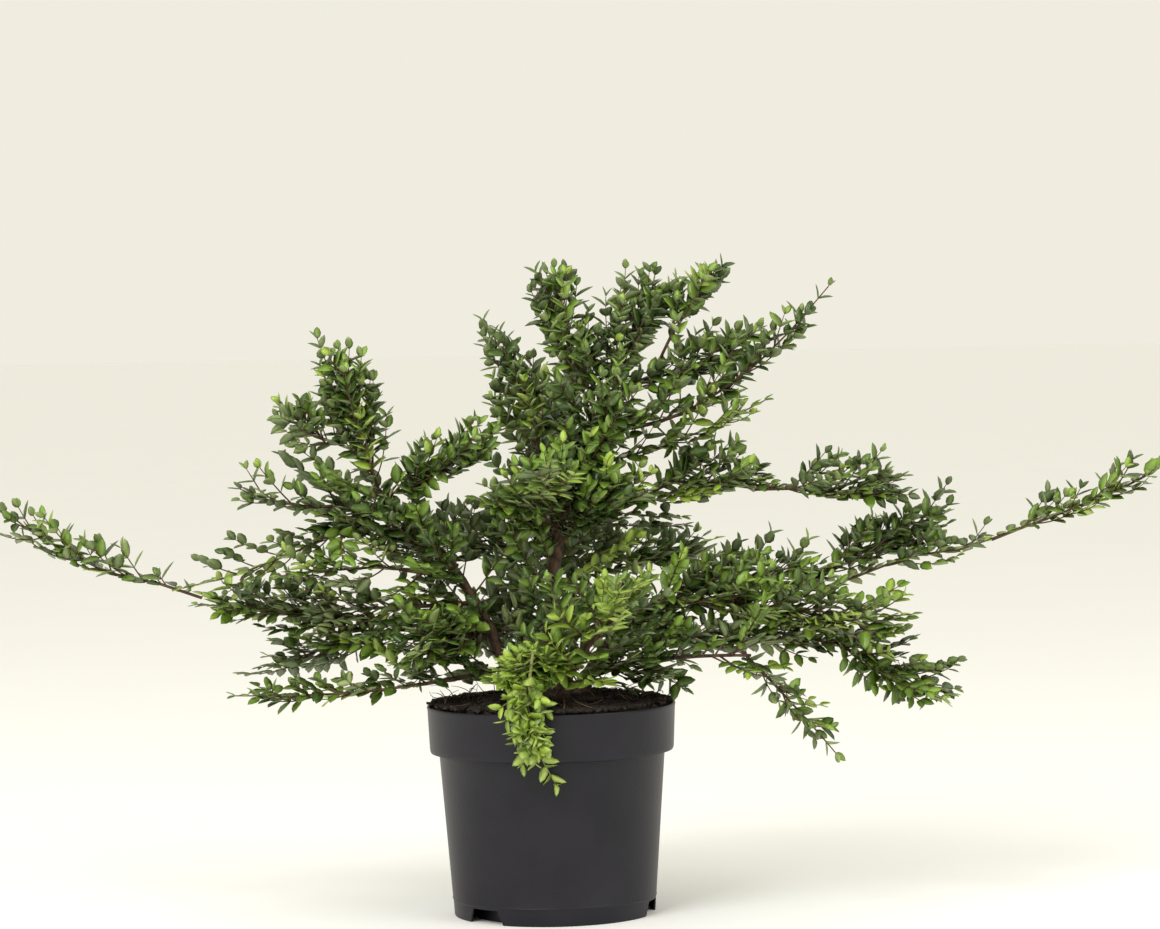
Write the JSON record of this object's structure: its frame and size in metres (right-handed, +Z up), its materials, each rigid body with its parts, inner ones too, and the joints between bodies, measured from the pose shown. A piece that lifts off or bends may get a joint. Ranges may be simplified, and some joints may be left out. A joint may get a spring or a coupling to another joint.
{
  "type": "potted box honeysuckle shrub",
  "caption": "Low evergreen box honeysuckle with wide flat sprays of small glossy leaves, standing in a round black nursery pot.",
  "frame": {"origin": "centre of the pot's flat underside, on the surface it stands on", "axes": "+Z up, +X to the shrub's right as the picture shows it, -Y towards the viewer"},
  "size_m": [0.913, 0.376, 0.495],
  "materials": {
    "pot": "satin moulded plastic",
    "soil": "loose damp potting mix",
    "bark": "flaky brown bark",
    "leaves_dark": "glossy dark leaves",
    "leaves_middle": "glossy green leaves",
    "leaves_fresh": "fresh green leaves",
    "leaves_lime": "young lime green leaves"
  },
  "bodies": {
    "root": {"pot": "pot", "soil": "soil", "stem_center": "bark", "stem_left": "bark", "stem_right": "bark", "stem_back": "bark", "stem_front": "bark", "bough_arch": "bark", "bough_center_left": "bark", "bough_left_small": "bark", "bough_left_flat_upper": "bark", "bough_left_flat": "bark", "bough_left_low": "bark", "bough_left_lowest": "bark", "bough_right_upper": "bark", "bough_right_lower": "bark", "bough_droop": "bark", "mass_top_left": "leaves_middle", "mass_top_center": "leaves_middle", "mass_top_right": "leaves_fresh", "mass_arch": "leaves_middle", "mass_upper_right": "leaves_middle", "mass_shoulder": "leaves_fresh", "mass_center_upper": "leaves_dark", "mass_center_left": "leaves_middle", "mass_center_front": "leaves_fresh", "mass_center_right": "leaves_middle", "mass_upper_left": "leaves_middle", "mass_upper_left_outer": "leaves_middle", "mass_upper_left_side": "leaves_middle", "mass_left_middle": "leaves_dark", "mass_left_small": "leaves_middle", "mass_left_long": "leaves_middle", "mass_left_long_tip": "leaves_middle", "mass_left_flat_upper": "leaves_middle", "mass_left_flat": "leaves_middle", "mass_left_low": "leaves_middle", "mass_left_lowest": "leaves_middle", "mass_left_inner": "leaves_middle", "mass_right_upper": "leaves_middle", "mass_right_upper_outer": "leaves_middle", "mass_right_middle": "leaves_middle", "mass_right_outer": "leaves_middle", "mass_right_long": "leaves_middle", "mass_right_long_tip": "leaves_fresh", "mass_right_fan": "leaves_fresh", "mass_right_lower": "leaves_middle", "mass_right_low": "leaves_middle", "mass_right_droop": "leaves_fresh", "mass_right_foot": "leaves_dark", "mass_front_light": "leaves_lime", "mass_front_low": "leaves_lime", "mass_front_sprig": "leaves_lime", "mass_front_high": "leaves_fresh", "mass_back_top": "leaves_middle", "mass_back_center": "leaves_middle", "mass_back_left": "leaves_middle", "mass_back_right": "leaves_middle", "mass_back_low_left": "leaves_dark", "mass_back_low_right": "leaves_dark"}
  },
  "joints": []
}
